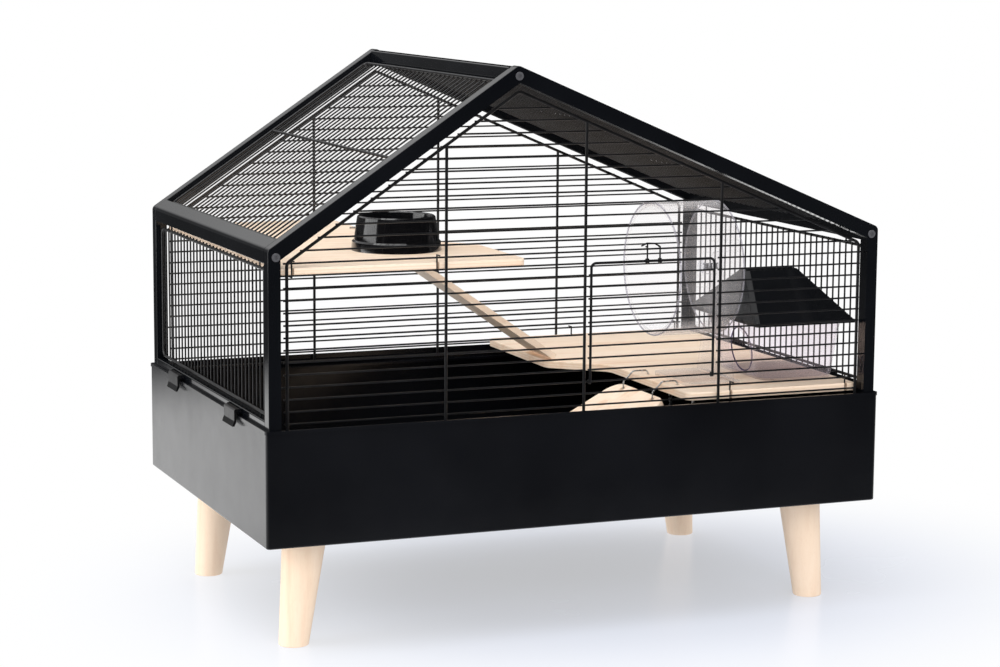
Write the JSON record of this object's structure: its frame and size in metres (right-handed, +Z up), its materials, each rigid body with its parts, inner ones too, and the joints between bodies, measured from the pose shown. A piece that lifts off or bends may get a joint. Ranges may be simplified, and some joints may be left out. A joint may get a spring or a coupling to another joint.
{
  "type": "hamster cage",
  "caption": "Gabled wire small-animal cage on splayed wooden legs, with a deep tray, shelves, ramp, wheel, hide house, bowl, front door and roof hatch.",
  "frame": {"origin": "centre of the footprint at floor level", "axes": "+X along the long side to the right seen from the door side, +Y from the door side to the back, +Z up"},
  "size_m": [0.8132, 0.53, 0.6871],
  "materials": {
    "axle_plastic": "clear gloss",
    "black_wire": "semi gloss powder coat",
    "board_wood": "smooth bare plywood",
    "bowl_plastic": "high gloss",
    "clip_plastic": "satin",
    "frame_paint": "gloss",
    "house_clear": "clear tinted plastic",
    "leg_wood": "clear satin lacquer",
    "plank_wood": "smooth bare plywood",
    "roof_plastic": "gloss",
    "screw_caps": "satin black",
    "stand_clear": "clear moulded plastic",
    "tray_plastic": "gloss",
    "wheel_clear": "clear moulded plastic",
    "zinc": "zinc plated"
  },
  "bodies": {
    "base": {"base_tray": "tray_plastic", "leg_front_left": "leg_wood", "leg_front_right": "leg_wood", "leg_back_left": "leg_wood", "leg_back_right": "leg_wood", "leg_plates": "zinc", "leg_studs": "zinc", "plate_screws": "zinc"},
    "cage_top": {"back_panel": "black_wire", "bottom_rail_left": "frame_paint", "bottom_rail_right": "frame_paint", "bridge_hooks": "zinc", "corner_screws": "screw_caps", "eave_beam_left": "frame_paint", "eave_beam_right": "frame_paint", "front_panel": "black_wire", "house_body": "house_clear", "lower_platform": "board_wood", "platform_hooks": "black_wire", "platform_rods": "zinc", "post_back_left": "frame_paint", "post_back_right": "frame_paint", "post_front_left": "frame_paint", "post_front_right": "frame_paint", "rafter_back_left": "frame_paint", "rafter_back_right": "frame_paint", "rafter_front_left": "frame_paint", "rafter_front_right": "frame_paint", "ramp_bail": "zinc", "ridge_beam": "frame_paint", "roof_panel_left": "black_wire", "roof_panel_right": "black_wire", "shelf_hooks": "black_wire", "upper_shelf": "board_wood", "wall_panel_left": "black_wire", "wall_panel_right": "black_wire", "wheel_axle": "axle_plastic", "wheel_stand": "stand_clear"},
    "front_door": {"front_door": "black_wire"},
    "door_latch": {"door_latch": "black_wire"},
    "roof_hatch": {"roof_hatch": "black_wire"},
    "hatch_latch": {"hatch_latch": "black_wire"},
    "running_wheel": {"wheel": "wheel_clear"},
    "ramp": {"ramp": "plank_wood"},
    "bridge": {"bridge_board": "plank_wood"},
    "bowl": {"bowl": "bowl_plastic"},
    "house_roof": {"house_roof": "roof_plastic"},
    "clip_front_left": {"clip_front_left": "clip_plastic"},
    "clip_front_right": {"clip_front_right": "clip_plastic"},
    "clip_back_left": {"clip_back_left": "clip_plastic"},
    "clip_back_right": {"clip_back_right": "clip_plastic"}
  },
  "joints": [
    {"name": "cage_lift", "type": "slide", "parent": "base", "child": "cage_top", "axis": [0, 0, 1], "range_m": [0, 0.25]},
    {"name": "front_door_swing", "type": "hinge", "parent": "cage_top", "child": "front_door", "pos_m": [0.09, -0.252, 0.3087], "axis": [1, 0, 0], "range_deg": [0, 145]},
    {"name": "door_latch_turn", "type": "hinge", "parent": "front_door", "child": "door_latch", "pos_m": [0.09, -0.2542, 0.4517], "axis": [1, 0, 0], "range_deg": [0, 60], "stiffness_Nm_per_rad": 0.0006},
    {"name": "roof_hatch_swing", "type": "hinge", "parent": "cage_top", "child": "roof_hatch", "pos_m": [0.06037, 0, 0.61738], "axis": [0, -1, 0], "range_deg": [0, 110]},
    {"name": "hatch_latch_turn", "type": "hinge", "parent": "roof_hatch", "child": "hatch_latch", "pos_m": [0.21788, 0, 0.55081], "axis": [0, -1, 0], "range_deg": [0, 60], "stiffness_Nm_per_rad": 0.0006},
    {"name": "wheel_spin", "type": "hinge", "parent": "cage_top", "child": "running_wheel", "pos_m": [0.177, -0.157, 0.429], "axis": [1, 0, 0], "continuous": true},
    {"name": "ramp_tilt", "type": "hinge", "parent": "cage_top", "child": "ramp", "pos_m": [-0.1452, 0.08, 0.45114], "axis": [0, -1, 0], "range_deg": [0, 20]},
    {"name": "bridge_swing", "type": "hinge", "parent": "cage_top", "child": "bridge", "pos_m": [0.12635, -0.145, 0.25965], "axis": [0, 1, 0], "range_deg": [0, 15]},
    {"name": "bowl_lift", "type": "slide", "parent": "cage_top", "child": "bowl", "axis": [0, 0, 1], "range_m": [0, 0.05]},
    {"name": "house_roof_lift", "type": "slide", "parent": "cage_top", "child": "house_roof", "axis": [0, 0, 1], "range_m": [0, 0.05]},
    {"name": "clip_front_left_swing", "type": "hinge", "parent": "cage_top", "child": "clip_front_left", "pos_m": [-0.3978, -0.129, 0.2806], "axis": [0, 1, 0], "range_deg": [0, 80]},
    {"name": "clip_back_left_swing", "type": "hinge", "parent": "cage_top", "child": "clip_back_left", "pos_m": [-0.3978, 0.129, 0.2806], "axis": [0, 1, 0], "range_deg": [0, 80]},
    {"name": "clip_front_right_swing", "type": "hinge", "parent": "cage_top", "child": "clip_front_right", "pos_m": [0.3978, -0.129, 0.2806], "axis": [0, -1, 0], "range_deg": [0, 80]},
    {"name": "clip_back_right_swing", "type": "hinge", "parent": "cage_top", "child": "clip_back_right", "pos_m": [0.3978, 0.129, 0.2806], "axis": [0, -1, 0], "range_deg": [0, 80]}
  ]
}
